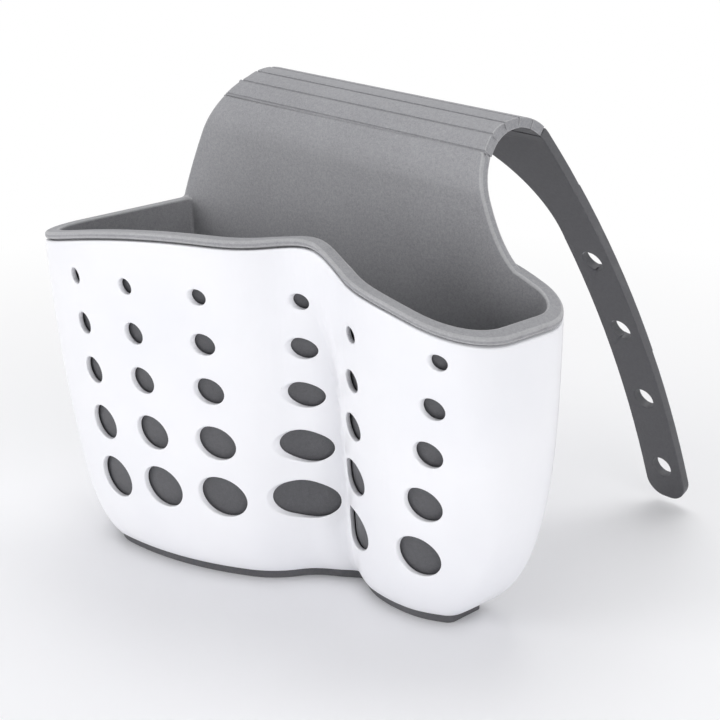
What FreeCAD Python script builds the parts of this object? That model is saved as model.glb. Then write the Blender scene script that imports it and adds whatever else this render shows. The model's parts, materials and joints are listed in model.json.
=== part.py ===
import FreeCAD, Part
import math
import os
from FreeCAD import Vector

# A hanging sink caddy of two mouldings: a perforated outer shell and a soft inner liner.
# The liner's back wall runs up into a wide strap that curls over a tap and ends in a holed tail.
# Frame: +X to the right, +Y to the back, +Z up, origin on the underside of the foot.

# Plan outline of the shell, given on the ground and at the nominal rim height
rim_level = 120.0
left_end_at_base = -75.0
left_end_at_rim = -92.5
left_bulge = 4.0
left_corner_at_base = 20.0
left_corner_at_rim = 27.0
big_lobe_centre_at_base = -58.5
big_lobe_centre_at_rim = -38.0
big_lobe_front_at_base = -44.7
big_lobe_front_at_rim = -61.2
big_lobe_radius_at_base = 103.5
big_lobe_radius_at_rim = 91.4
shoulder_radius_at_base = 33.0
shoulder_radius_at_rim = 38.0
shoulder_angle_at_base = 31.8
shoulder_angle_at_rim = 30.4
valley_radius_at_base = 15.0
valley_radius_at_rim = 21.0
small_lobe_centre_at_base = 39.0
small_lobe_centre_at_rim = 65.0
small_lobe_front_at_base = -9.2
small_lobe_front_at_rim = -35.8
small_lobe_radius = 52.0
right_end_at_base = 63.0
right_end_at_rim = 92.0
right_ease_power = 4
right_corner_at_base = 9.0
right_corner_at_rim = 24.0
back_right_corner_at_base = 5.0
back_right_corner_at_rim = 15.5
back_left_corner_at_base = 13.0
back_left_corner_at_rim = 3.0
back_plane = 21.0
least_corner = 1.5

# Walls and fits
shell_wall = 2.0
liner_wall = 2.6
liner_clearance = 0.4
rim_seat_gap = 0.6
flange_height = 2.3
flange_setback = 0.1
liner_floor = 3.2
foot_clearance = 0.4

# Rounded lower edge of the shell: heights and how far the wall has drawn in there
shell_bottom = 3.5
round_low = 7.5
round_mid = 13.0
round_top = 22.0
draw_in_bottom = 4.2
draw_in_low = 2.2
draw_in_mid = 0.8
bottom_lip = 1.6
loft_top = 134.0
wall_steps = 4

# Wavy rim line: height of the shell's top edge over the length
rim_left_end = 102.0
rim_left = 112.6
rim_rise = 118.4
rim_plateau = 121.3
rim_flat = 121.5
rim_step_top = 121.6
rim_step_mid = 117.2
rim_right = 114.4
rim_right_mid = 112.0
rim_right_end = 103.5
rim_left_place = -54.0
rim_rise_place = -28.0
rim_plateau_place = 2.0
rim_flat_place = 20.0
rim_step_top_place = 32.0
rim_step_mid_place = 39.5
rim_right_place = 50.0
rim_right_mid_place = 66.0

# Perforation of the front wall: columns fan out upwards, holes grow downwards
row_top = 104.6
row_bottom = 33.4
column_first_top = -51.4
column_last_top = 79.5
column_first_bottom = -47.9
column_last_bottom = 58.8
column_drop = 5.2
largest_hole = 14.6
row_height_shares = (0.0, 0.282, 0.545, 0.775, 1.0)
hole_size_shares = (1.0, 0.82, 0.616, 0.493, 0.356)
column_place_shares = (0.0, 0.2, 0.394, 0.578, 0.742, 1.0)
column_drop_shares = (0.58, 0.13, 0.0, 0.0, 1.0, 1.0)

# Drain holes through the liner's floor
drain_hole = 7.0
drain_pitch = 17.0
drain_first = -48.0
drain_line = -7.0
drain_count = 3
drain_right_place = 44.0
drain_right_line = 6.0

# Strap: band, curl, hinge grooves and tail
strap_thickness = 3.2
curl_radius = 21.0
curl_centre_height = 133.0
band_left_foot = -92.0
band_left_foot_height = 106.0
band_left_neck = -75.5
band_left_neck_height = 140.0
crest_left = -68.0
crest_right = 48.5
crest_edge_height = 152.0
band_right_neck = 54.0
band_right_neck_height = 137.0
band_right_waist = 58.5
band_right_waist_height = 126.0
band_right_foot = 78.0
band_right_foot_height = 110.0
band_root_height = 100.0
groove_first_angle = 40.0
groove_pitch_angle = 18.0
groove_count = 6
groove_half_angle = 6.5
hinge_slit = 0.12
curl_end_angle = 142.0
tail_bend_radius = 400.0
tail_length = 160.0
tail_width = 16.8
tail_splay_angle = 4.5
tail_end_radius = 7.0
shoulder_fillet = 45.0
shoulder_edge = 2.0
shoulder_corner = 9.0
tail_hole = 8.0
tail_hole_first = 55.0
tail_hole_pitch = 30.0
tail_hole_count = 4

# Snap stud on the shell's back, which a tail hole is pressed over
stud_place = 46.0
stud_height = 94.0
stud_neck = 6.2
stud_neck_length = 3.6
stud_head = 10.4
stud_head_length = 2.6

# How far cutting tools run past what they cut
overrun = 12.0


def at_level(base, rim, height):
    """A value of the plan outline at a height, on the straight line from ground to rim."""
    return base + (rim - base) * height / rim_level


def eased(base, rim, height):
    """A value of the right end at a height, which changes fast near the ground and little near the rim."""
    return rim - (rim - base) * (1 - height / rim_level) ** right_ease_power


def swell(bulge, height):
    """How far the left end bulges out at a height: all of the bulge half-way up, none at ground and rim."""
    share = height / rim_level
    return bulge * 4 * share * (1 - share)


def arc(centre, radius, start, end):
    """An arc of under half a turn about a centre, from near one point to near another."""
    first = (start - centre).normalize()
    last = (end - centre).normalize()
    middle = (first + last).normalize()
    return Part.Arc(centre + first * radius, centre + middle * radius, centre + last * radius).toShape()


def line_between(first, second):
    """A line from the end of one edge to the start of the next one."""
    return Part.makeLine(first.Vertexes[-1].Point, second.Vertexes[0].Point)


def outline(height, inset):
    """The closed plan outline at a height, drawn in by an inset, as lines and tangent arcs."""
    left = at_level(left_end_at_base, left_end_at_rim, height) - swell(left_bulge, height)
    right = eased(right_end_at_base, right_end_at_rim, height)
    corner = at_level(left_corner_at_base, left_corner_at_rim, height)
    lobe_radius = at_level(big_lobe_radius_at_base, big_lobe_radius_at_rim, height)
    shoulder_radius = at_level(shoulder_radius_at_base, shoulder_radius_at_rim, height)
    valley_radius = at_level(valley_radius_at_base, valley_radius_at_rim, height)
    right_corner = at_level(right_corner_at_base, right_corner_at_rim, height)
    back_right = eased(back_right_corner_at_base, back_right_corner_at_rim, height)
    back_left = at_level(back_left_corner_at_base, back_left_corner_at_rim, height)
    turn = math.radians(at_level(shoulder_angle_at_base, shoulder_angle_at_rim, height))

    lobe = Vector(at_level(big_lobe_centre_at_base, big_lobe_centre_at_rim, height),
                  at_level(big_lobe_front_at_base, big_lobe_front_at_rim, height) + lobe_radius, height)
    small = Vector(at_level(small_lobe_centre_at_base, small_lobe_centre_at_rim, height),
                   at_level(small_lobe_front_at_base, small_lobe_front_at_rim, height) + small_lobe_radius,
                   height)
    turn_way = Vector(math.sin(turn), -math.cos(turn), 0)
    shoulder = lobe + turn_way * (lobe_radius - shoulder_radius)
    across = left + corner - lobe.x
    front_left = Vector(left + corner, lobe.y - math.sqrt((lobe_radius - corner) ** 2 - across ** 2), height)
    aside = right - right_corner - small.x
    front_right = Vector(right - right_corner,
                         small.y - math.sqrt((small_lobe_radius - right_corner) ** 2 - aside ** 2), height)
    right_radius = max(back_right - inset, least_corner)
    left_radius = max(back_left - inset, least_corner)
    rear_right = Vector(right - inset - right_radius, back_plane - inset - right_radius, height)
    rear_left = Vector(left + inset + left_radius, back_plane - inset - left_radius, height)

    # The valley circle touches the shoulder and the small lobe from outside
    gap = small - shoulder
    reach = shoulder_radius + valley_radius
    far_reach = small_lobe_radius + valley_radius
    along = (reach ** 2 - far_reach ** 2 + gap.Length ** 2) / (2 * gap.Length)
    aside_way = Vector(gap.y, -gap.x, 0).normalize()
    valley = shoulder + gap * (along / gap.Length) + aside_way * math.sqrt(reach ** 2 - along ** 2)

    left_way = Vector(-1, 0, 0)
    right_way = Vector(1, 0, 0)
    back_way = Vector(0, 1, 0)
    front = [
        arc(front_left, corner - inset, front_left + left_way, front_left + (front_left - lobe)),
        arc(lobe, lobe_radius - inset, front_left, lobe + turn_way),
        arc(shoulder, shoulder_radius - inset, shoulder + turn_way, valley),
        arc(valley, valley_radius + inset, shoulder, small),
        arc(small, small_lobe_radius - inset, valley, front_right),
        arc(front_right, right_corner - inset, front_right + (front_right - small), front_right + right_way),
    ]
    right_turn = arc(rear_right, right_radius, rear_right + right_way, rear_right + back_way)
    left_turn = arc(rear_left, left_radius, rear_left + back_way, rear_left + left_way)
    right_side = line_between(front[-1], right_turn)
    back_side = line_between(right_turn, left_turn)
    left_side = line_between(left_turn, front[0])
    return Part.Wire(front + [right_side, right_turn, back_side, left_turn, left_side])


def wall(start, top):
    """A solid from a start, given as a height and an inset, up to a top, swelling as the outline does."""
    low, inset = start
    levels = [low + (top - low) * number / wall_steps for number in range(wall_steps + 1)]
    return Part.makeLoft([outline(height, inset) for height in levels], True, False)


def tub(sections, top):
    """A solid up to a top: a rounded foot through heights and insets, then a wall at the last inset."""
    foot = Part.makeLoft([outline(height, inset) for height, inset in sections], True, False)
    return foot.fuse(wall(sections[-1], top))


def rounding(bottom, depth, lift):
    """Sections of the rounded lower edge, a depth behind the outer face and raised by a lift."""
    return [
        bottom,
        (round_low + lift, draw_in_low + depth),
        (round_mid + lift, draw_in_mid + depth),
        (round_top + lift, depth),
    ]


def above_rim(lift):
    """Everything above the wavy rim line raised by a lift, right across the caddy."""
    front = big_lobe_front_at_rim - overrun
    line = [
        (left_end_at_rim - overrun, rim_left_end),
        (left_end_at_rim + left_corner_at_rim / 2, (rim_left_end + rim_left) / 2 - flange_height / 2),
        (rim_left_place, rim_left),
        (rim_rise_place, rim_rise),
        (rim_plateau_place, rim_plateau),
        (rim_flat_place, rim_flat),
        (rim_step_top_place, rim_step_top),
        (rim_step_mid_place, rim_step_mid),
        (rim_right_place, rim_right),
        (rim_right_mid_place, rim_right_mid),
        (right_end_at_rim, rim_right_end),
        (right_end_at_rim + overrun, rim_right_end - flange_height),
    ]
    curve = Part.BSplineCurve()
    curve.interpolate([Vector(x, front, z + lift) for x, z in line])
    edge = curve.toShape()
    start = edge.Vertexes[0].Point
    end = edge.Vertexes[-1].Point
    ceiling = loft_top + overrun
    roof = [start, Vector(start.x, front, ceiling), Vector(end.x, front, ceiling), end]
    sides = [Part.makeLine(roof[i], roof[i + 1]) for i in range(len(roof) - 1)]
    face = Part.Face(Part.Wire(Part.__sortEdges__([edge] + sides)))
    return face.extrude(Vector(0, back_plane - front + overrun, 0))


def front_holes():
    """Round holes through the front wall, square to the back plane."""
    cutters = []
    for column, drop in zip(column_place_shares, column_drop_shares):
        low = column_first_bottom + (column_last_bottom - column_first_bottom) * column
        high = column_first_top + (column_last_top - column_first_top) * column
        for row, size in zip(row_height_shares, hole_size_shares):
            place = low + (high - low) * row
            height = row_bottom + (row_top - row_bottom) * row - column_drop * drop
            start = Vector(place, big_lobe_front_at_rim - overrun, height)
            length = back_plane - shell_wall - liner_wall - liner_clearance - start.y
            cutters.append(Part.makeCylinder(largest_hole * size / 2, length, start, Vector(0, 1, 0)))
    return Part.makeCompound(cutters)


def make_stud():
    """The mushroom stud on the back of the shell."""
    start = Vector(stud_place, back_plane - shell_wall / 2, stud_height)
    back = Vector(0, 1, 0)
    neck_length = shell_wall / 2 + stud_neck_length
    neck = Part.makeCylinder(stud_neck / 2, neck_length, start, back)
    head = Part.makeCone(stud_head / 2, stud_neck / 2, stud_head_length, start + back * neck_length, back)
    return neck.fuse(head)


def make_shell():
    """The perforated outer shell, open at the top and, for the foot, at the bottom."""
    outer = tub(rounding((shell_bottom, draw_in_bottom), 0, 0), loft_top)
    opening = (shell_bottom, draw_in_bottom + bottom_lip)
    cavity = tub(rounding(opening, shell_wall, 0), loft_top)
    shell = outer.cut(cavity).cut(above_rim(0)).cut(front_holes())
    return shell.fuse(make_stud())


def yz(angle, radius):
    """A point of the curl at an angle from its front tangent and a radius."""
    turn = math.radians(angle)
    centre_line = back_plane - shell_wall - liner_clearance - liner_wall + curl_radius
    return Vector(0, centre_line - radius * math.cos(turn), curl_centre_height + radius * math.sin(turn))


def yz_direction(angle):
    """The direction of travel along the strap at an angle of the curl."""
    turn = math.radians(angle)
    return Vector(0, math.sin(turn), math.cos(turn))


def groove_flank(angle, side):
    """Foot and top of one flank of a hinge groove. Side is +1 after the groove and -1 before it."""
    inner = curl_radius - strap_thickness
    foot = yz(angle, inner) + yz_direction(angle) * (side * hinge_slit / 2)
    outward = yz(angle, 1) - yz(angle, 0)
    lean = math.radians(groove_half_angle)
    way = outward * math.cos(lean) + yz_direction(angle) * (side * math.sin(lean))
    from_centre = foot - yz(angle, 0)
    half = from_centre.dot(way)
    travel = -half + math.sqrt(half ** 2 - from_centre.dot(from_centre) + curl_radius ** 2)
    return foot, foot + way * travel


def curl_angle(point):
    """The curl angle at which a point of the section lies."""
    spoke = point - yz(0, 0)
    return math.degrees(math.atan2(spoke.z, -spoke.y))


def curl_piece(start, end):
    """Edges of a curled stretch of the section between two pairs of inner and outer points."""
    inner = curl_radius - strap_thickness
    middle_in = (curl_angle(start[0]) + curl_angle(end[0])) / 2
    middle_out = (curl_angle(start[1]) + curl_angle(end[1])) / 2
    return [
        Part.Arc(start[0], yz(middle_in, inner), end[0]).toShape(),
        Part.Arc(start[1], yz(middle_out, curl_radius), end[1]).toShape(),
    ]


def across_strap(edges):
    """A section in the side plane made into a solid that runs right across the strap."""
    face = Part.Face(Part.Wire(Part.__sortEdges__(edges)))
    face.translate(Vector(left_end_at_rim - overrun, 0, 0))
    return face.extrude(Vector(right_end_at_rim - left_end_at_rim + 2 * overrun, 0, 0))


def strap_front():
    """The strap's outline from the front, run through from front to back."""
    front = back_plane - shell_wall - liner_clearance - liner_wall - overrun
    top = curl_centre_height + curl_radius + overrun
    left_curve = Part.BSplineCurve()
    left_curve.interpolate([
        Vector(band_left_foot, front, band_left_foot_height),
        Vector(band_left_neck, front, band_left_neck_height),
        Vector(crest_left, front, crest_edge_height),
    ])
    right_curve = Part.BSplineCurve()
    right_curve.interpolate([
        Vector(crest_right, front, crest_edge_height),
        Vector(band_right_neck, front, band_right_neck_height),
        Vector(band_right_waist, front, band_right_waist_height),
        Vector(band_right_foot, front, band_right_foot_height),
    ])
    corners = [
        Vector(crest_left, front, crest_edge_height),
        Vector(crest_left, front, top),
        Vector(crest_right, front, top),
        Vector(crest_right, front, crest_edge_height),
    ]
    low = [
        Vector(band_right_foot, front, band_right_foot_height),
        Vector(band_right_foot, front, band_root_height),
        Vector(band_left_foot, front, band_root_height),
        Vector(band_left_foot, front, band_left_foot_height),
    ]
    edges = [left_curve.toShape(), right_curve.toShape()]
    for run in (corners, low):
        edges += [Part.makeLine(run[i], run[i + 1]) for i in range(len(run) - 1)]
    face = Part.Face(Part.Wire(Part.__sortEdges__(edges)))
    return face.extrude(Vector(0, 4 * curl_radius + overrun, 0))


def make_band(trim):
    """The fixed lower part of the strap, from the rim up to the first groove."""
    front = yz(0, curl_radius)
    rear = yz(0, curl_radius - strap_thickness)
    foot = Vector(0, 0, curl_centre_height - band_root_height)
    last = groove_flank(groove_first_angle, -1)
    edges = curl_piece((rear, front), last)
    edges.append(Part.makeLine(last[0], last[1]))
    edges.append(Part.makeLine(front, front - foot))
    edges.append(Part.makeLine(front - foot, rear - foot))
    edges.append(Part.makeLine(rear - foot, rear))
    return across_strap(edges).common(trim).cut(below_rim())


def below_rim():
    """Everything from the ground up to the underside of the rim flange."""
    front = big_lobe_front_at_rim - overrun
    box = Part.makeBox(right_end_at_rim - left_end_at_rim + 2 * overrun, back_plane - front + overrun,
                       loft_top, Vector(left_end_at_rim - overrun, front, 0))
    return box.cut(above_rim(rim_seat_gap))


def make_liner(trim):
    """The soft liner: a tub with a foot, a rim flange and the band of the strap."""
    depth = shell_wall + liner_clearance
    inner = depth + liner_wall
    foot_inset = draw_in_bottom + bottom_lip + foot_clearance
    foot = Part.Face(outline(shell_bottom, foot_inset)).extrude(Vector(0, 0, -shell_bottom))
    body = tub(rounding((shell_bottom, foot_inset), depth, 0), loft_top).fuse(foot)
    floor = (liner_floor, foot_inset + liner_wall / 2)
    cavity = tub(rounding(floor, inner, liner_floor), loft_top + liner_floor)
    flange = wall((round_top, flange_setback), loft_top)
    seat = above_rim(rim_seat_gap)
    liner = body.cut(seat).fuse(flange.common(seat).cut(above_rim(rim_seat_gap + flange_height)))
    liner = liner.cut(cavity)
    drains = []
    for number in range(drain_count):
        drains.append(Vector(drain_first + number * drain_pitch, drain_line, -overrun))
    drains.append(Vector(drain_right_place, drain_right_line, -overrun))
    for place in drains:
        liner = liner.cut(Part.makeCylinder(drain_hole / 2, 2 * overrun, place))
    return liner.fuse(make_band(trim)).removeSplitter()


def crest_box():
    """The straight sides of the strap behind the top of the curl."""
    height = 2 * curl_radius + overrun
    start = Vector(crest_left, yz(0, curl_radius).y, curl_centre_height - curl_radius)
    return Part.makeBox(crest_right - crest_left, 2 * curl_radius + overrun, height, start)


def make_land(number, front_trim):
    """One stiff land of the curl between two neighbouring hinge grooves."""
    angle = groove_first_angle + number * groove_pitch_angle
    trim = front_trim if angle < 90 else crest_box()
    start = groove_flank(angle, 1)
    end = groove_flank(angle + groove_pitch_angle, -1)
    edges = curl_piece(start, end)
    edges.append(Part.makeLine(start[0], start[1]))
    edges.append(Part.makeLine(end[0], end[1]))
    return across_strap(edges).common(trim)


def tail_arc(radius, share):
    """A point of the tail's section at a radius and a share of its length."""
    centre = yz(curl_end_angle, curl_radius - tail_bend_radius)
    turn = math.radians(curl_end_angle) + tail_length / tail_bend_radius * share
    return centre + Vector(0, -math.cos(turn), math.sin(turn)) * radius


def tail_frame():
    """Start, mean direction and mean outward normal of the tail in the side plane."""
    start = tail_arc(tail_bend_radius, 0)
    along = (tail_arc(tail_bend_radius, 1) - start).normalize()
    return start, along, Vector(0, -along.z, along.y)


def tail_centre(run):
    """The tail's centre line at a run along its mean direction."""
    start, along, normal = tail_frame()
    aside = crest_right - tail_width / 2 + run * math.tan(math.radians(tail_splay_angle))
    return start + along * run + Vector(aside, 0, 0)


def tail_outline():
    """The tail's flat outline: wide behind the last groove, then a waist and a long tongue."""
    start, along, normal = tail_frame()
    half = Vector(tail_width / 2, 0, 0)
    reach = 2 * curl_radius
    waist = shoulder_fillet + shoulder_edge
    end = tail_length - shoulder_edge
    tip = end - tail_end_radius
    inset = half - Vector(tail_end_radius, 0, 0)
    back = start - along * reach
    waist_centre = tail_centre(waist) - half - Vector(shoulder_fillet, 0, 0)
    corner_centre = start + along * (shoulder_edge - shoulder_corner)
    corner_centre += Vector(crest_left + shoulder_corner, 0, 0)
    left_way = Vector(-1, 0, 0)
    right_way = Vector(1, 0, 0)
    arcs = [
        arc(corner_centre, shoulder_corner, corner_centre + left_way, corner_centre + along),
        arc(waist_centre, shoulder_fillet, waist_centre - along, waist_centre + right_way),
        arc(tail_centre(tip) - inset, tail_end_radius, tail_centre(tip) - half, tail_centre(end) - inset),
        arc(tail_centre(tip) + inset, tail_end_radius, tail_centre(end) + inset, tail_centre(tip) + half),
    ]
    lines = [
        (back + Vector(crest_left, 0, 0), arcs[0].Vertexes[0].Point),
        (arcs[0].Vertexes[-1].Point, arcs[1].Vertexes[0].Point),
        (arcs[1].Vertexes[-1].Point, arcs[2].Vertexes[0].Point),
        (arcs[2].Vertexes[-1].Point, arcs[3].Vertexes[0].Point),
        (arcs[3].Vertexes[-1].Point, tail_centre(0) + half),
        (tail_centre(0) + half, back + Vector(crest_right, 0, 0)),
        (back + Vector(crest_right, 0, 0), back + Vector(crest_left, 0, 0)),
    ]
    edges = arcs + [Part.makeLine(a, b) for a, b in lines]
    face = Part.Face(Part.Wire(Part.__sortEdges__(edges)))
    face.translate(normal * -reach)
    return face.extrude(normal * (2 * reach))


def make_tail():
    """The free end of the strap, from the last groove to its rounded tip, with its button holes."""
    last_groove = groove_first_angle + (groove_count - 1) * groove_pitch_angle
    inner = curl_radius - strap_thickness
    tail_inner = tail_bend_radius - strap_thickness
    start = groove_flank(last_groove, 1)
    end = (yz(curl_end_angle, inner), yz(curl_end_angle, curl_radius))
    tip = (tail_arc(tail_inner, 1), tail_arc(tail_bend_radius, 1))
    middle_share = 0.5
    edges = curl_piece(start, end)
    edges.append(Part.makeLine(start[0], start[1]))
    edges.append(Part.Arc(end[0], tail_arc(tail_inner, middle_share), tip[0]).toShape())
    edges.append(Part.Arc(end[1], tail_arc(tail_bend_radius, middle_share), tip[1]).toShape())
    edges.append(Part.makeLine(tip[0], tip[1]))
    tail = across_strap(edges).common(tail_outline())
    for number in range(tail_hole_count):
        run = tail_hole_first + number * tail_hole_pitch
        middle = tail_centre(run)
        spoke = tail_arc(tail_bend_radius, run / tail_length) - tail_arc(0, 0)
        normal = Vector(0, spoke.y, spoke.z).normalize()
        tail = tail.cut(Part.makeCylinder(tail_hole / 2, 2 * overrun, middle - normal * overrun, normal))
    return tail


def export(name, shape):
    """Write one node and print what it is."""
    print(name, "solids", len(shape.Solids), "valid", shape.isValid(), "cm3", round(shape.Volume / 1000, 2))
    shape.exportStep("parts/" + name + ".step")


os.makedirs("parts", exist_ok=True)
strap_trim = strap_front()
export("outer_shell", make_shell())
export("inner_liner", make_liner(strap_trim))
for land in range(groove_count - 1):
    export("strap_land_" + str(land + 1), make_land(land, strap_trim))
export("strap_tail", make_tail())
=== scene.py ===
"""A hanging sink caddy: a white perforated shell and a grey soft liner with a curled strap."""

import json
import logging
import math
from dataclasses import dataclass, field
from enum import Enum, IntEnum
from typing import Any, Callable, Dict, Iterable, List, Set, Tuple

import bmesh
import bpy
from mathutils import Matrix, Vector
from mathutils.bvhtree import BVHTree

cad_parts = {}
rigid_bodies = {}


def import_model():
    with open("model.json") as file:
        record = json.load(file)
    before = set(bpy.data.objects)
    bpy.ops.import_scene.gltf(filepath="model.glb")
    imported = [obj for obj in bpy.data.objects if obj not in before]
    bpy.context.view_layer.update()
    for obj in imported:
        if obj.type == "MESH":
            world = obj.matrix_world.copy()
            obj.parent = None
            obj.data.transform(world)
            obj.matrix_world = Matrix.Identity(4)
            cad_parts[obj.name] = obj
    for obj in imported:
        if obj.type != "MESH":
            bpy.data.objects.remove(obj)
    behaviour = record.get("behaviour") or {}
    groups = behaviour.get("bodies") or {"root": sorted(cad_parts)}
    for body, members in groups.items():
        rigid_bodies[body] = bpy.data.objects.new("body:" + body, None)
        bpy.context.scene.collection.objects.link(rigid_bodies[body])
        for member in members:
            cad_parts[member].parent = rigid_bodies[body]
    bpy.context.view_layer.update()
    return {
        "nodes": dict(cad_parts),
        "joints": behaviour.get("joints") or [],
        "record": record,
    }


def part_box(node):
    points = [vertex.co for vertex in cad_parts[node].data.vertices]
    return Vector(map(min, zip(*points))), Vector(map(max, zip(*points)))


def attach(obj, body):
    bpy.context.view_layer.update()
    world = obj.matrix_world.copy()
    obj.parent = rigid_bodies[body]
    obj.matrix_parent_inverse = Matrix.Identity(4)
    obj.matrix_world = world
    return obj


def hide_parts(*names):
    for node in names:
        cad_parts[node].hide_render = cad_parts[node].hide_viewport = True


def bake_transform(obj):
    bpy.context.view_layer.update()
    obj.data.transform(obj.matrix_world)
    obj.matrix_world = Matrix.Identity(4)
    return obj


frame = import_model()
log = logging.getLogger("sink_caddy")

MM = 0.001
TINY = 1e-9
NOISE_MEAN = 0.5
Colour = Tuple[float, float, float]
Place = Tuple[float, float, float]


class EdgeKind(Enum):
    """Where a sharp moulded edge lies, which sets how round it is."""

    RIM = "rim"
    FOOT = "foot"
    HOLE = "hole"
    HINGE_LIP = "hinge lip"
    HINGE_FOOT = "hinge foot"


class Side(IntEnum):
    """Which rubber a face of the liner has, as the number of its material; the third is painted
    darker as shade.
    """

    GRAINED = 0
    # The paler edge rubber is a painted highlight on rounded rim edges.
    EDGE = 1
    PLAIN = 2


class Value:
    """A shader socket that takes part in sums."""

    def __init__(self, sheet: "NodeSheet", socket: Any) -> None:
        """Keep the sheet that new nodes go on and the socket.

        Args:
            sheet: The node sheet that the socket is on.
            socket: The output socket that carries the value.
        """
        self.sheet = sheet
        self.socket = socket

    def _sum(self, operation: str, first: Any, second: Any, hold: bool = False) -> "Value":
        """Add one Math node.

        Args:
            operation: The Math node's operation.
            first: Its first value or link.
            second: Its second value or link.
            hold: Whether the result is kept between zero and one.

        Returns:
            The node's result.
        """
        settings = {"operation": operation, "use_clamp": hold}
        return self.sheet.node("ShaderNodeMath", settings, {0: first, 1: second})

    def __add__(self, other: Any) -> "Value":
        """This value plus another."""
        return self._sum("ADD", self, other)

    def __radd__(self, other: Any) -> "Value":
        """Another value plus this one."""
        return self._sum("ADD", other, self)

    def __sub__(self, other: Any) -> "Value":
        """This value less another."""
        return self._sum("SUBTRACT", self, other)

    def __rsub__(self, other: Any) -> "Value":
        """Another value less this one."""
        return self._sum("SUBTRACT", other, self)

    def __mul__(self, other: Any) -> "Value":
        """This value times another."""
        return self._sum("MULTIPLY", self, other)

    def __rmul__(self, other: Any) -> "Value":
        """Another value times this one."""
        return self._sum("MULTIPLY", other, self)

    def larger(self, other: Any) -> "Value":
        """The larger of this value and another."""
        return self._sum("MAXIMUM", self, other)

    def held(self) -> "Value":
        """This value kept between zero and one."""
        return self._sum("ADD", self, 0.0, hold=True)


class NodeSheet:
    """The node tree of one material or of the world."""

    def __init__(self, owner: Any) -> None:
        """Start an empty node tree.

        Args:
            owner: The new material or world.
        """
        self.owner = owner
        owner.use_nodes = True
        self.tree = owner.node_tree
        self.tree.nodes.clear()

    def node(self, kind: str, settings: Dict[str, Any], inputs: Dict[Any, Any],
             output: Any = 0) -> Any:
        """Add one node.

        Args:
            kind: The node's type.
            settings: Its settings.
            inputs: Values or links by socket name or number.
            output: Name or number of the output that is wanted.

        Returns:
            That output, or nothing for a node that ends the tree.
        """
        made = self.tree.nodes.new(kind)
        for key, setting in settings.items():
            setattr(made, key, setting)
        for key, given in inputs.items():
            if isinstance(given, Value):
                self.tree.links.new(given.socket, made.inputs[key])
            else:
                made.inputs[key].default_value = given
        return Value(self, made.outputs[output]) if made.outputs else None

    def place(self) -> Value:
        """The object's own coordinates."""
        return self.node("ShaderNodeTexCoord", {}, {}, "Object")

    def ray(self, kind: str) -> Value:
        """One for rays of a kind, and zero for others."""
        return self.node("ShaderNodeLightPath", {}, {}, kind)

    def noise(self, place: Value, scale: float, detail: float, roughness: float = 0.5) -> Value:
        """Noise over the object's coordinates.

        Args:
            place: The coordinates.
            scale: Cells in a metre.
            detail: Octaves.
            roughness: How strong the finer octaves are.

        Returns:
            The noise, about a half.
        """
        inputs = {"Vector": place, "Scale": scale, "Detail": detail, "Roughness": roughness}
        return self.node("ShaderNodeTexNoise", {}, inputs, "Fac")

    def mix(self, share: Value, first: Colour, second: Colour) -> Value:
        """Mix two colours by a share.

        Args:
            share: Zero for the first colour, one for the second.
            first: A colour.
            second: A colour.

        Returns:
            The mixed colour.
        """
        settings = {"data_type": "RGBA", "clamp_factor": True}
        inputs = {0: share, 6: (*first, 1.0), 7: (*second, 1.0)}
        return self.node("ShaderNodeMix", settings, inputs, 2)

    def bump(self, height: Value, depth: float, strength: float) -> Value:
        """Normals that follow a fine relief.

        Args:
            height: The relief, about zero to one.
            depth: The height of one, in metres.
            strength: How far the normals follow it.

        Returns:
            The normals.
        """
        inputs = {"Strength": strength, "Distance": depth, "Height": height}
        return self.node("ShaderNodeBump", {}, inputs, "Normal")

    def finish(self, surface: Value, output: str = "ShaderNodeOutputMaterial") -> Any:
        """Send a shader to the output.

        Args:
            surface: The shader.
            output: The output node's type.

        Returns:
            The finished material or world.
        """
        self.node(output, {}, {"Surface": surface})
        return self.owner


@dataclass(frozen=True)
class WhitePlastic:
    """Satin white moulded plastic with a faint mould texture and flow ripples."""

    pale: Colour = (0.865, 0.865, 0.89)
    cool: Colour = (0.825, 0.828, 0.86)
    roughness: float = 0.33
    texture_scale: float = 1500.0
    texture_roughness: float = 0.6
    texture_sheen: float = 0.18
    texture_depth: float = 0.012 * MM
    texture_relief: float = 0.6
    ripple_scale: float = 160.0
    ripple_relief: float = 0.8
    fine_octaves: float = 2.0
    cloud_scale: float = 22.0
    cloud_octaves: float = 3.0
    cloud_start: float = 0.35
    cloud_gain: float = 3.0
    cloud_sheen: float = 0.1
    bump_strength: float = 0.5
    ior: float = 1.49

    def material(self) -> bpy.types.Material:
        """Make the material.

        Returns:
            The material.
        """
        sheet = NodeSheet(bpy.data.materials.new("white_plastic"))
        place = sheet.place()
        cloud = sheet.noise(place, self.cloud_scale, self.cloud_octaves)
        texture = sheet.noise(place, self.texture_scale, self.fine_octaves, self.texture_roughness)
        ripple = sheet.noise(place, self.ripple_scale, self.fine_octaves)
        share = (cloud - self.cloud_start) * self.cloud_gain
        roughness = self.roughness + (texture - NOISE_MEAN) * self.texture_sheen
        relief = texture * self.texture_relief + ripple * self.ripple_relief
        shader = sheet.node("ShaderNodeBsdfPrincipled", {}, {
            "Base Color": sheet.mix(share, self.pale, self.cool),
            "Roughness": roughness + (cloud - NOISE_MEAN) * self.cloud_sheen,
            "Normal": sheet.bump(relief, self.texture_depth, self.bump_strength),
            "IOR": self.ior}, "BSDF")
        return sheet.finish(shader)


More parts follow.
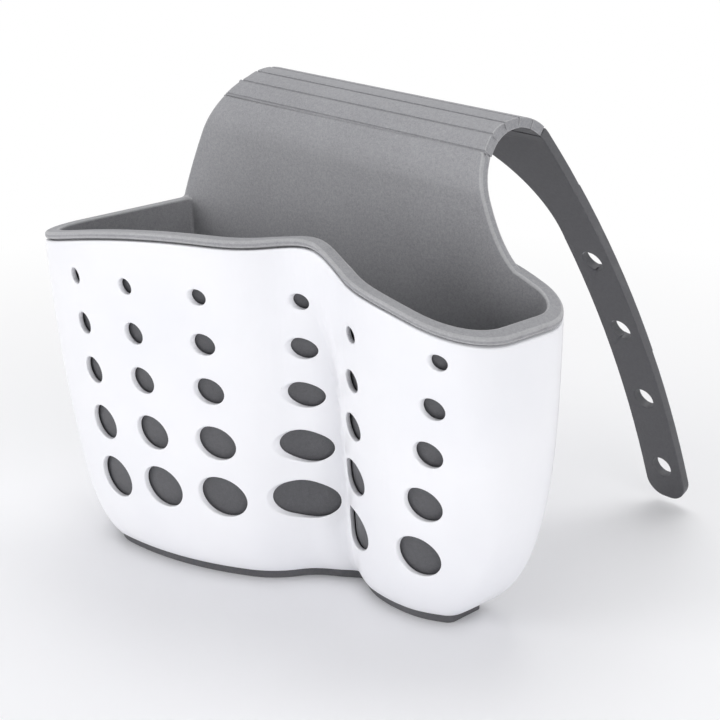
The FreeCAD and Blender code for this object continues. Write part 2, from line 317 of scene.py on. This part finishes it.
@dataclass(frozen=True)
class GreyRubber:
    """Soft grey moulded rubber with the fine sandy grain of a blasted mould."""

    name: str = "grained_rubber"
    light: Colour = (0.35, 0.35, 0.365)
    dark: Colour = (0.225, 0.225, 0.238)
    roughness: float = 0.58
    grain_scale: float = 2600.0
    grain_octaves: float = 3.0
    grain_roughness: float = 0.65
    grain_depth: float = 0.07 * MM
    grain_contrast: float = 2.0
    grain_sheen: float = 0.35
    coarse_ratio: float = 3.0
    coarse_octaves: float = 2.0
    coarse_contrast: float = 0.8
    coarse_relief: float = 0.6
    cloud_scale: float = 35.0
    cloud_octaves: float = 3.0
    cloud_contrast: float = 0.6
    cloud_sheen: float = 0.12
    bump_strength: float = 0.6
    ior: float = 1.5

    def material(self) -> bpy.types.Material:
        """Make the material.

        Returns:
            The material.
        """
        sheet = NodeSheet(bpy.data.materials.new(self.name))
        place = sheet.place()
        grain = sheet.noise(place, self.grain_scale, self.grain_octaves, self.grain_roughness)
        coarse = sheet.noise(place, self.grain_scale / self.coarse_ratio, self.coarse_octaves)
        cloud = sheet.noise(place, self.cloud_scale, self.cloud_octaves)
        share = (grain - NOISE_MEAN) * self.grain_contrast
        share = share + (coarse - NOISE_MEAN) * self.coarse_contrast
        share = share + (cloud - NOISE_MEAN) * self.cloud_contrast + NOISE_MEAN
        roughness = self.roughness + (grain - NOISE_MEAN) * self.grain_sheen
        relief = grain + coarse * self.coarse_relief
        shader = sheet.node("ShaderNodeBsdfPrincipled", {}, {
            "Base Color": sheet.mix(share, self.dark, self.light),
            "Roughness": roughness + (cloud - NOISE_MEAN) * self.cloud_sheen,
            "Normal": sheet.bump(relief, self.grain_depth, self.bump_strength),
            "IOR": self.ior}, "BSDF")
        return sheet.finish(shader)


@dataclass(frozen=True)
class PaleFloor:
    """Plain pale tabletop that turns white far away."""

    colour: Colour = (0.93, 0.93, 0.945)
    shade: Colour = (0.905, 0.905, 0.925)
    white: Colour = (1.0, 1.0, 1.0)
    roughness: float = 0.5
    cloud_scale: float = 3.0
    cloud_octaves: float = 2.0
    fade_from: float = 0.08
    fade_to: float = 0.42

    def material(self) -> bpy.types.Material:
        """Make the material.

        Returns:
            The material.
        """
        sheet = NodeSheet(bpy.data.materials.new("pale_floor"))
        place = sheet.place()
        cloud = sheet.noise(place, self.cloud_scale, self.cloud_octaves)
        surface = sheet.node("ShaderNodeBsdfPrincipled", {}, {
            "Base Color": sheet.mix(cloud, self.colour, self.shade),
            "Roughness": self.roughness}, "BSDF")
        away = sheet.node("ShaderNodeVectorMath", {"operation": "LENGTH"}, {0: place}, "Value")
        share = ((away - self.fade_from) * (1.0 / (self.fade_to - self.fade_from))).held()
        white = sheet.node("ShaderNodeEmission", {}, {"Color": (*self.white, 1.0)})
        seen = sheet.ray("Is Camera Ray").larger(sheet.ray("Is Glossy Ray"))
        inputs = {0: share * seen, 1: surface, 2: white}
        return sheet.finish(sheet.node("ShaderNodeMixShader", {}, inputs))


@dataclass(frozen=True)
class Rounding:
    """How one kind of edge is rounded."""

    width: float
    segments: int = 3


@dataclass(frozen=True)
class Curl:
    """The strap's curl in the side plane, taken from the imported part."""

    middle_y: float
    middle_z: float
    inner_radius: float
    thickness: float = 3.2 * MM

    @classmethod
    def from_frame(cls) -> "Curl":
        """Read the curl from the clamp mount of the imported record.

        Returns:
            The curl.
        """
        mount = next(m for m in frame["record"]["mounts"] if m["kind"] == "clamp")
        _, middle_y, middle_z = mount["pos_m"]
        return cls(middle_y, middle_z, mount["dims"]["r_mm"] * MM)

    def radius(self, point: Vector) -> float:
        """Distance of a point from the curl's axis."""
        return math.hypot(point.y - self.middle_y, point.z - self.middle_z)

    def outward(self, point: Vector) -> Vector:
        """The direction away from the curl's axis, and below the axis away from its upright plane.

        Args:
            point: A point of the strap.

        Returns:
            The direction.
        """
        rise = max(point.z - self.middle_z, 0.0)
        return Vector((0.0, point.y - self.middle_y, rise)).normalized()


def ramp(value: float, start: float, end: float) -> float:
    """Rise smoothly from zero at the start to one at the end.

    Args:
        value: Where on the ramp.
        start: Its start.
        end: Its end, which may lie below the start.

    Returns:
        The height, from zero to one.
    """
    share = min(max((value - start) / (end - start), 0.0), 1.0)
    return share * share * (3.0 - 2.0 * share)


@dataclass(frozen=True)
class Crease:
    """The crease in the front wall, where the small lobe stands out from the valley beside it.

    Shell and liner are pushed by the same amount, so the gap between them stays.
    """

    foot_x: float = 24.0 * MM
    rim_x: float = 36.0 * MM
    height: float = 107.0 * MM
    valley_depth: float = 5.0 * MM
    valley_width: float = 4.0 * MM
    valley_shift: float = -5.0 * MM
    valley_foot: float = 0.55
    valley_gain: float = 0.45
    valley_full: float = 0.45
    valley_fade: Tuple[float, float] = (1.05, 0.7)
    lobe_way: Tuple[float, float] = (0.68, -0.73)
    lobe_depth: float = 2.0 * MM
    lobe_start: float = -3.0 * MM
    lobe_rise: float = 9.0 * MM
    lobe_end: float = 22.0 * MM
    lobe_fall: float = 20.0 * MM
    lobe_fade: Tuple[float, float] = (0.95, 0.2)
    back_y: float = 9.0 * MM
    front_y: float = 1.0 * MM
    left: float = 10.0 * MM
    right: float = 72.0 * MM
    cut_x: float = 1.5 * MM
    cut_z: float = 6.0 * MM
    cut_gap: float = 0.0001 * MM

    def press(self, mesh: Any) -> None:
        """Cut the front wall finely and press the crease into it.

        Args:
            mesh: The bmesh of the shell or of the liner.
        """
        for number in range(1, int((self.right - self.left) / self.cut_x)):
            point = Vector((self.left + number * self.cut_x, 0.0, 0.0))
            self._cut(mesh, point, Vector((1.0, 0.0, 0.0)))
        for number in range(1, int(self.height / self.cut_z) + 2):
            self._cut(mesh, Vector((0.0, 0.0, number * self.cut_z)), Vector((0.0, 0.0, 1.0)))
        wide = [f for f in mesh.faces if len(f.verts) > 4]
        bmesh.ops.triangulate(mesh, faces=wide, quad_method="BEAUTY", ngon_method="BEAUTY")
        for vertex in mesh.verts:
            vertex.co += self._push(vertex.co)

    def _cut(self, mesh: Any, point: Vector, normal: Vector) -> None:
        """Cut the faces of the front wall along one plane.

        Args:
            mesh: The bmesh.
            point: A point of the plane.
            normal: The plane's normal.
        """
        faces = [f for f in mesh.faces if self._near(f.calc_center_median())]
        edges = dict.fromkeys(e for f in faces for e in f.edges)
        verts = dict.fromkeys(v for f in faces for v in f.verts)
        bmesh.ops.bisect_plane(mesh, geom=[*verts, *edges, *faces], dist=self.cut_gap,
                               plane_co=point, plane_no=normal)

    def _near(self, point: Vector) -> bool:
        """Whether a point is in the part of the front wall that is pressed."""
        return self.left < point.x < self.right and point.y < self.back_y

    def _push(self, point: Vector) -> Vector:
        """How far a point moves.

        Args:
            point: The point.

        Returns:
            The way.
        """
        rise = point.z / self.height
        off = point.x - self.foot_x - (self.rim_x - self.foot_x) * rise
        deep = self.valley_foot + self.valley_gain * ramp(rise, 0.0, self.valley_full)
        deep *= self.valley_depth * ramp(rise, *self.valley_fade)
        deep *= math.exp(-((off - self.valley_shift) / self.valley_width) ** 2)
        out = self.lobe_depth * ramp(rise, *self.lobe_fade)
        out *= ramp(off, self.lobe_start, self.lobe_start + self.lobe_rise)
        out *= ramp(off, self.lobe_end + self.lobe_fall, self.lobe_end)
        way = Vector((out * self.lobe_way[0], deep + out * self.lobe_way[1], 0.0))
        return way * ramp(point.y, self.back_y, self.front_y)


def as_it_is(mesh: Any) -> None:
    """A piece that keeps its shape."""


def no_faces(mesh: Any) -> Iterable[Any]:
    """A piece whose faces all have its first finish."""
    return ()


@dataclass
class Moulding:
    """One moulded piece: a merged copy of a CAD node whose sharp edges are rounded."""

    node: str
    body: str
    slot: str
    materials: List[bpy.types.Material]
    roundings: Dict[EdgeKind, Rounding]
    kind_of: Callable[[Any], EdgeKind]
    # Faces that get the darker rubber, whose colour is painted shade.
    plain_faces: Callable[[Any], Iterable[Any]] = no_faces
    flat_angle: float = 0.0
    press: Callable[[Any], None] = as_it_is
    pale_edge: bool = True
    sharp_angle: float = math.radians(35.0)
    merge_gap: float = 0.001 * MM
    sliver_gap: float = 0.02 * MM
    clear_share: float = 1.5
    clear_rounds: int = 3
    narrow_share: float = 0.7
    fold_angle: float = math.radians(100.0)
    iron_reach: float = 0.1 * MM
    iron_rounds: int = 4
    iron_share: float = 0.5
    stray_gap: float = 0.45 * MM
    stray_rings: int = 6

    def build(self) -> bpy.types.Object:
        """Build, dress and hang the piece.

        Returns:
            The finished object.
        """
        data = bpy.data.meshes.new(self.node + "_moulded")
        mesh = self._shape()
        mesh.to_mesh(data)
        mesh.free()
        for material in self.materials:
            data.materials.append(material)
        piece = bpy.data.objects.new(self.node + "_moulded", data)
        bpy.context.scene.collection.objects.link(piece)
        weighted = piece.modifiers.new("even_normals", "WEIGHTED_NORMAL")
        weighted.keep_sharp = True
        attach(piece, self.body)
        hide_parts(self.node)
        return piece

    def _shape(self) -> Any:
        """Merge, mark, round and press the copy of the CAD node.

        Returns:
            The bmesh.
        """
        mesh = bmesh.new()
        mesh.from_mesh(frame["nodes"][self.node].data)
        bmesh.ops.remove_doubles(mesh, verts=mesh.verts[:], dist=self.merge_gap)
        bmesh.ops.dissolve_degenerate(mesh, edges=mesh.edges[:], dist=self.sliver_gap)
        if self.flat_angle:
            bmesh.ops.dissolve_limit(mesh, angle_limit=self.flat_angle,
                                     verts=mesh.verts[:], edges=mesh.edges[:])
        surface = BVHTree.FromBMesh(mesh)
        for kind, rounding in self.roundings.items():
            self._clear(mesh, kind, rounding)
            # The foot comes after the rim, whose roundings then keep their paler rubber, a painted
            # highlight.
            if kind is not EdgeKind.FOOT:
                self._mark(mesh)
            self._round(mesh, kind, rounding)
        self._draw_in(mesh, surface)
        self._iron(mesh)
        self._keep_in(mesh)
        self.press(mesh)
        for face in mesh.faces:
            face.smooth = True
        return mesh

    def _mark(self, mesh: Any) -> None:
        """Give every face its rubber: grained, or the darker one of the other side, which is
        painted shade.

        Args:
            mesh: The bmesh.
        """
        for face in mesh.faces:
            face.material_index = Side.GRAINED
        for face in self.plain_faces(mesh):
            face.material_index = Side.PLAIN

    def _draw_in(self, mesh: Any, surface: BVHTree) -> None:
        """Weld points that a rounding threw off the CAD surface to the nearest sound point.

        Args:
            mesh: The bmesh.
            surface: The surface before rounding.
        """
        stray = {v for v in mesh.verts if surface.find_nearest(v.co)[3] > self.stray_gap}
        roots: Dict[Any, Any] = {}
        waiting = [v for v in mesh.verts if v in stray]
        for _ in range(self.stray_rings):
            for vertex in waiting:
                near = [e.other_vert(vertex) for e in vertex.link_edges]
                sound = [roots.get(v, v) for v in near if v in roots or v not in stray]
                if sound:
                    roots[vertex] = min(sound, key=lambda v: (v.co - vertex.co).length)
            waiting = [v for v in waiting if v not in roots]
        bmesh.ops.weld_verts(mesh, targetmap=roots)
        bmesh.ops.dissolve_degenerate(mesh, edges=mesh.edges[:], dist=self.merge_gap)

    def _keep_in(self, mesh: Any) -> None:
        """Keep every point inside the CAD node's own box.

        Args:
            mesh: The bmesh.
        """
        low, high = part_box(self.node)
        for vertex in mesh.verts:
            vertex.co = [min(max(c, a), b) for c, a, b in zip(vertex.co, low, high)]

    def _is_sharp(self, edge: Any) -> bool:
        """Whether two faces meet at an edge in a clear angle."""
        return edge.is_manifold and edge.calc_face_angle(0.0) > self.sharp_angle

    def _sharp(self, mesh: Any, kind: EdgeKind) -> List[Any]:
        """The sharp edges of one kind."""
        return [e for e in mesh.edges if self._is_sharp(e) and self.kind_of(e) is kind]

    def _clear(self, mesh: Any, kind: EdgeKind, rounding: Rounding) -> None:
        """Take out loose points that lie closer to an edge than its rounding reaches.

        Args:
            mesh: The bmesh.
            kind: The kind of edge.
            rounding: How these edges are rounded.
        """
        reach = self.clear_share * rounding.width
        for _ in range(self.clear_rounds):
            edges = self._sharp(mesh, kind)
            corners = {v for e in mesh.edges if self._is_sharp(e) for v in e.verts}
            close = {v for e in edges for f in e.link_faces for v in f.verts
                     if v not in corners and self._height(e, v) < reach}
            if not close:
                return
            bmesh.ops.dissolve_verts(mesh, verts=[v for v in mesh.verts if v in close])
            wide = [f for f in mesh.faces if len(f.verts) > 3]
            bmesh.ops.triangulate(mesh, faces=wide, quad_method="BEAUTY", ngon_method="BEAUTY")

    @staticmethod
    def _height(edge: Any, vertex: Any) -> float:
        """Distance of a vertex from the line of an edge.

        Args:
            edge: The bmesh edge.
            vertex: The bmesh vertex.

        Returns:
            The distance.
        """
        start, end = (v.co for v in edge.verts)
        way = end - start
        return (vertex.co - start).cross(way).length / max(way.length, TINY)

    def _round(self, mesh: Any, kind: EdgeKind, rounding: Rounding) -> None:
        """Round the edges of one kind.

        Args:
            mesh: The bmesh.
            kind: The kind of edge.
            rounding: How these edges are rounded.
        """
        edges = self._sharp(mesh, kind)
        if not edges:
            return
        made = bmesh.ops.bevel(mesh, geom=edges, offset=rounding.width, offset_type="OFFSET",
                               segments=rounding.segments, profile=0.5, affect="EDGES", material=-1,
                               clamp_overlap=False)
        # Narrow faces of the rim's rounding get the paler rubber: a painted highlight along the
        # edge.
        if kind is EdgeKind.RIM and self.pale_edge:
            for face in made["faces"]:
                longest = max(e.calc_length() for e in face.edges)
                if face.calc_area() < self.narrow_share * rounding.width * longest:
                    face.material_index = Side.EDGE

    def _iron(self, mesh: Any) -> None:
        """Smooth out the few places where neighbouring roundings fold over each other.

        Args:
            mesh: The bmesh.
        """
        for _ in range(self.iron_rounds):
            folds: Set[Any] = set()
            for edge in mesh.edges:
                if edge.is_manifold and edge.calc_face_angle(0.0) > self.fold_angle:
                    folds.update(edge.verts)
            if not folds:
                return
            before = {v: v.co.copy() for v in folds}
            bent = [v for v in mesh.verts if v in folds]
            bmesh.ops.smooth_vert(mesh, verts=bent, factor=self.iron_share,
                                  use_axis_x=True, use_axis_y=True, use_axis_z=True)
            for vertex, place in before.items():
                way = vertex.co - place
                if way.length > self.iron_reach:
                    vertex.co = place + way.normalized() * self.iron_reach


@dataclass
class Shell:
    """The white perforated shell."""

    finish: WhitePlastic = field(default_factory=WhitePlastic)
    edge: Rounding = Rounding(0.5 * MM)

    def build(self) -> List[bpy.types.Object]:
        """Build the shell.

        Returns:
            Its pieces.
        """
        piece = Moulding("outer_shell", "shell", "shell_plastic", [self.finish.material()],
                         {EdgeKind.HOLE: self.edge}, lambda edge: EdgeKind.HOLE,
                         press=Crease().press)
        return [piece.build()]


@dataclass
class HingeWeb:
    """The thin web at the bottom of one hinge groove, between its two neighbours."""

    number: int
    parent: str
    child: str
    foot: Vector
    outward: Vector
    left: float
    right: float
    low: float = 0.03 * MM
    high: float = 2.75 * MM
    slit: float = 0.06 * MM
    lean: float = math.radians(6.5)
    bite: float = 0.06 * MM
    steps: int = 12

    def build(self, material: bpy.types.Material) -> bpy.types.Object:
        """Build the web where it lies at rest.

        Args:
            material: The rubber.

        Returns:
            The finished object.
        """
        along = self.outward.cross(Vector((1.0, 0.0, 0.0)))
        mesh = bmesh.new()
        corners = []
        for height, way in ((self.low, -1), (self.low, 1), (self.high, 1), (self.high, -1)):
            half = self.slit + height * math.tan(self.lean) + self.bite
            point = self.foot + self.outward * height + along * (way * half)
            corners.append(mesh.verts.new((self.left, point.y, point.z)))
        face = mesh.faces.new(corners)
        step = Vector(((self.right - self.left) / self.steps, 0.0, 0.0))
        section = [face]
        for _ in range(self.steps):
            made = bmesh.ops.extrude_face_region(mesh, geom=section,
                                                 use_keep_orig=section[0] is face)
            section = [g for g in made["geom"] if isinstance(g, bmesh.types.BMFace)]
            moved = [g for g in made["geom"] if isinstance(g, bmesh.types.BMVert)]
            bmesh.ops.translate(mesh, verts=moved, vec=step)
        bmesh.ops.recalc_face_normals(mesh, faces=mesh.faces[:])
        name = "hinge_web_" + str(self.number)
        data = bpy.data.meshes.new(name)
        mesh.to_mesh(data)
        mesh.free()
        data.materials.append(material)
        piece = bpy.data.objects.new(name, data)
        bpy.context.scene.collection.objects.link(piece)
        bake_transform(piece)
        return piece


@dataclass
class Liner:
    """The grey liner with its strap: band, lands, hinge webs and tail.

    The side that shows from above, the basket's inside and the strap's outside, is grained.
    The other side of the same wall is smoother, and its darker colour is painted shade.
    """

    grained: GreyRubber = field(default_factory=GreyRubber)
    # Painted highlight: the paler rubber on the narrow faces of rounded rim edges stands for the
    # light they catch.
    edge: GreyRubber = GreyRubber("rubber_edge", (0.43, 0.43, 0.44), (0.31, 0.31, 0.32),
                                  roughness=0.5, grain_depth=0.04 * MM)
    # Painted shade: this rubber is made darker to stand for the shade that the other side of the
    # wall lies in.
    plain: GreyRubber = GreyRubber("plain_rubber", (0.105, 0.105, 0.112), (0.066, 0.066, 0.072),
                                   roughness=0.5, grain_depth=0.04 * MM, grain_contrast=1.8)
    rim: Rounding = Rounding(0.8 * MM, 4)
    foot: Rounding = Rounding(0.35 * MM)
    lip: Rounding = Rounding(0.25 * MM)
    land_rim: Rounding = Rounding(0.25 * MM)
    tail_rim: Rounding = Rounding(0.4 * MM)
    hole_rim: Rounding = Rounding(0.12 * MM, 2)
    hole_reach: float = 5.6 * MM
    tongue_width: float = 20.0 * MM
    rim_from: float = 95.0 * MM
    foot_top: float = 10.0 * MM
    shell_gap: float = 1.2 * MM
    draft: float = 0.004
    land_count: int = 5
    land_flat: float = math.radians(1.5)
    tail_flat: float = math.radians(0.5)
    web_inset: float = 0.3 * MM
    end_web_inset: float = 0.8 * MM
    radius_slack: float = 0.4 * MM
    smooth_angle: float = math.radians(35.0)
    across_share: float = 0.99
    tip_share: float = 0.25
    inside_facing: float = -0.5
    tail_facing: float = 0.3
    foot_facing: float = 0.5
    curl: Curl = field(init=False)
    tail_box: Tuple[Vector, Vector] = field(init=False)

    def build(self) -> List[bpy.types.Object]:
        """Build the liner and its strap.

        Returns:
            Its pieces.
        """
        self.curl = Curl.from_frame()
        self.tail_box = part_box("strap_tail")
        materials = [self.grained.material(), self.edge.material(), self.plain.material()]
        tub = {EdgeKind.HINGE_LIP: self.lip, EdgeKind.RIM: self.rim, EdgeKind.FOOT: self.foot}
        land = {EdgeKind.HINGE_LIP: self.lip, EdgeKind.RIM: self.land_rim}
        tail = {EdgeKind.HINGE_LIP: self.lip, EdgeKind.HOLE: self.hole_rim,
                EdgeKind.RIM: self.tail_rim}
        rubber = "liner_rubber"
        parts = [Moulding("inner_liner", "liner", rubber, materials, tub, self._kind,
                          self._outer_side, press=Crease().press)]
        for number in range(1, self.land_count + 1):
            parts.append(Moulding("strap_land_" + str(number), "land_" + str(number), rubber,
                                  materials, land, self._strap_kind, self._strap_inside,
                                  self.land_flat))
        parts.append(Moulding("strap_tail", "tail", rubber, materials, tail, self._tail_kind,
                              self._tail_sides, self.tail_flat, pale_edge=False))
        pieces = [part.build() for part in parts]
        pieces += [web.build(materials[Side.GRAINED]) for web in self._webs()]
        return pieces

    def _webs(self) -> List[HingeWeb]:
        """The webs of all hinge grooves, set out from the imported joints.

        Returns:
            One web for each hinge.
        """
        webs = []
        hinges = [j for j in frame["joints"] if j["type"] == "hinge"]
        for number, joint in enumerate(hinges, 1):
            low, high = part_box("strap_land_" + str(min(number, self.land_count)))
            inset = self.web_inset if 1 < number <= self.land_count else self.end_web_inset
            foot = Vector((0.0, *joint["pos_m"][1:]))
            webs.append(HingeWeb(number, joint["parent"], joint["child"], foot,
                                 self.curl.outward(foot), low.x + inset, high.x - inset))
        return webs

    def _strap_inside(self, mesh: Any) -> List[Any]:
        """The faces of a strap piece that look towards the tap.

        Args:
            mesh: The bmesh.

        Returns:
            The faces.
        """
        return [f for f in mesh.faces if self._facing(f) < self.inside_facing]

    def _tail_sides(self, mesh: Any) -> List[Any]:
        """The faces of the tail that don't look away from the tap.

        Args:
            mesh: The bmesh.

        Returns:
            The faces.
        """
        return [f for f in mesh.faces if self._facing(f) < self.tail_facing]

    def _facing(self, face: Any) -> float:
        """How far a face looks away from the tap, from minus one to one."""
        return face.normal.dot(self.curl.outward(face.calc_center_median()))

    def _outer_side(self, mesh: Any) -> Set[Any]:
        """The faces of the liner's outside: foot, wall behind the shell and the band's back.

        Args:
            mesh: The bmesh.

        Returns:
            The faces.
        """
        back = self.curl.middle_y - self.curl.inner_radius - self.radius_slack
        found = {f for f in self._strap_inside(mesh) if f.calc_center_median().y > back
                 and f.calc_center_median().z > self.rim_from}
        found.update(f for f in mesh.faces if f.normal.z < self.foot_facing
                     and max(v.co.z for v in f.verts) < self.foot_top)
        against = self._against_shell(mesh)
        spread = [f for f in against if f.calc_center_median().z < self.rim_from]
        found.update(spread)
        while spread:
            face = spread.pop()
            for edge in face.edges:
                if edge.calc_face_angle(math.pi) < self.smooth_angle:
                    new = [f for f in edge.link_faces
                           if f not in found and (f in against or f.normal.z < -self.draft)]
                    found.update(new)
                    spread.extend(new)
        return found

    def _against_shell(self, mesh: Any) -> Set[Any]:
        """The faces that lie close against the shell.

        Args:
            mesh: The bmesh.

        Returns:
            The faces.
        """
        shell = bmesh.new()
        shell.from_mesh(frame["nodes"]["outer_shell"].data)
        surface = BVHTree.FromBMesh(shell)
        shell.free()
        return {f for f in mesh.faces
                if surface.find_nearest(f.calc_center_median(), self.shell_gap)[0] is not None}

    def _strap_kind(self, edge: Any) -> EdgeKind:
        """The kind of a sharp edge of a land or of the tail.

        Args:
            edge: The bmesh edge.

        Returns:
            Its kind.
        """
        start, end = (v.co for v in edge.verts)
        way = end - start
        across = abs(way.x) > self.across_share * way.length
        above = min(start.z, end.z) > self.curl.middle_z
        radii = [self.curl.radius(start), self.curl.radius(end)]
        inner = self.curl.inner_radius
        if across and above and max(abs(r - inner) for r in radii) < self.radius_slack:
            return EdgeKind.HINGE_FOOT
        outer = inner + self.curl.thickness
        if across and above and max(abs(r - outer) for r in radii) < self.radius_slack:
            return EdgeKind.HINGE_LIP
        return EdgeKind.RIM

    def _tail_kind(self, edge: Any) -> EdgeKind:
        """The kind of a sharp edge of the tail, with its button holes.

        Args:
            edge: The bmesh edge.

        Returns:
            Its kind.
        """
        low, high = self.tail_box
        start, end = (v.co for v in edge.verts)
        middle = high.x - self.tongue_width / 2
        inside = max(abs(start.x - middle), abs(end.x - middle)) < self.hole_reach
        off_tip = min(start.z, end.z) > low.z + self.tip_share * self.tongue_width
        if not off_tip or max(start.z, end.z) > self.curl.middle_z:
            return self._strap_kind(edge)
        across = abs(end.x - start.x) > self.across_share * (end - start).length
        if across and not inside:
            return EdgeKind.HINGE_FOOT
        return EdgeKind.HOLE if inside else EdgeKind.RIM

    def _kind(self, edge: Any) -> EdgeKind:
        """The kind of a sharp edge of the liner.

        Args:
            edge: The bmesh edge.

        Returns:
            Its kind.
        """
        low = min(v.co.z for v in edge.verts)
        return self._strap_kind(edge) if low > self.rim_from else EdgeKind.FOOT


@dataclass(frozen=True)
class Lamp:
    """One soft square lamp: where it hangs, its side and its power in watts."""

    name: str
    place: Place
    size: float
    power: float


@dataclass
class Studio:
    """Floor, soft light, white surroundings and the camera."""

    camera_place: Place = (0.3876, -0.3438, 0.2609)
    camera_tilt: float = 70.0
    camera_turn: float = 47.0
    lens: float = 85.0
    sensor: float = 36.0
    clip_start: float = 0.01
    clip_end: float = 50.0
    floor_reach: float = 4.0
    floor_cells: int = 4
    aim: Place = (0.0, 0.0, 0.07)
    world_light: float = 0.37
    world_colour: Colour = (0.98, 0.985, 1.0)
    lamps: Tuple[Lamp, ...] = (Lamp("key_lamp", (-0.55, -1.15, 0.38), 0.7, 7.8),
                               Lamp("side_lamp", (1.1, -0.35, 0.35), 0.7, 5.4),
                               Lamp("top_lamp", (-0.2, 0.2, 1.3), 0.8, 6.4),
                               Lamp("back_lamp", (0.3, 1.2, 0.7), 0.8, 2.4))

    def build(self) -> None:
        """Build the whole studio."""
        self._floor()
        for lamp in self.lamps:
            self._hang(lamp)
        self._surroundings()
        self._camera()

    def _floor(self) -> None:
        """Lay the floor."""
        mesh = bmesh.new()
        bmesh.ops.create_grid(mesh, x_segments=self.floor_cells, y_segments=self.floor_cells,
                              size=self.floor_reach)
        data = bpy.data.meshes.new("floor")
        mesh.to_mesh(data)
        mesh.free()
        data.materials.append(PaleFloor().material())
        floor = bpy.data.objects.new("floor", data)
        bpy.context.scene.collection.objects.link(floor)

    def _hang(self, lamp: Lamp) -> None:
        """Hang one lamp that points at the caddy.

        Args:
            lamp: The lamp.
        """
        data = bpy.data.lights.new(lamp.name, "AREA")
        data.shape = "SQUARE"
        data.size = lamp.size
        data.energy = lamp.power
        made = bpy.data.objects.new(lamp.name, data)
        made.location = lamp.place
        way = Vector(self.aim) - Vector(lamp.place)
        made.rotation_euler = way.to_track_quat("-Z", "Y").to_euler()
        bpy.context.scene.collection.objects.link(made)

    def _surroundings(self) -> None:
        """Make the world white to look at and soft as a light."""
        world = bpy.data.worlds.new("surroundings")
        sheet = NodeSheet(world)
        seen = sheet.ray("Is Camera Ray").larger(sheet.ray("Is Glossy Ray"))
        strength = self.world_light + seen * (1.0 - self.world_light)
        inputs = {"Color": (*self.world_colour, 1.0), "Strength": strength}
        back = sheet.node("ShaderNodeBackground", {}, inputs)
        bpy.context.scene.world = sheet.finish(back, "ShaderNodeOutputWorld")

    def _camera(self) -> None:
        """Set up the camera."""
        data = bpy.data.cameras.new("camera")
        data.lens = self.lens
        data.sensor_width = self.sensor
        data.clip_start = self.clip_start
        data.clip_end = self.clip_end
        camera = bpy.data.objects.new("camera", data)
        camera.location = self.camera_place
        tilt, turn = math.radians(self.camera_tilt), math.radians(self.camera_turn)
        camera.rotation_euler = (tilt, 0.0, turn)
        bpy.context.scene.collection.objects.link(camera)
        bpy.context.scene.camera = camera


def main() -> None:
    """Build everything."""
    logging.basicConfig(level=logging.INFO, format="%(name)s: %(message)s")
    for part in (Shell(), Liner()):
        for piece in part.build():
            log.info("%s: %d faces", piece.name, len(piece.data.polygons))
    Studio().build()
    bpy.context.scene.view_settings.view_transform = "Standard"


if __name__ == "__main__":
    main()
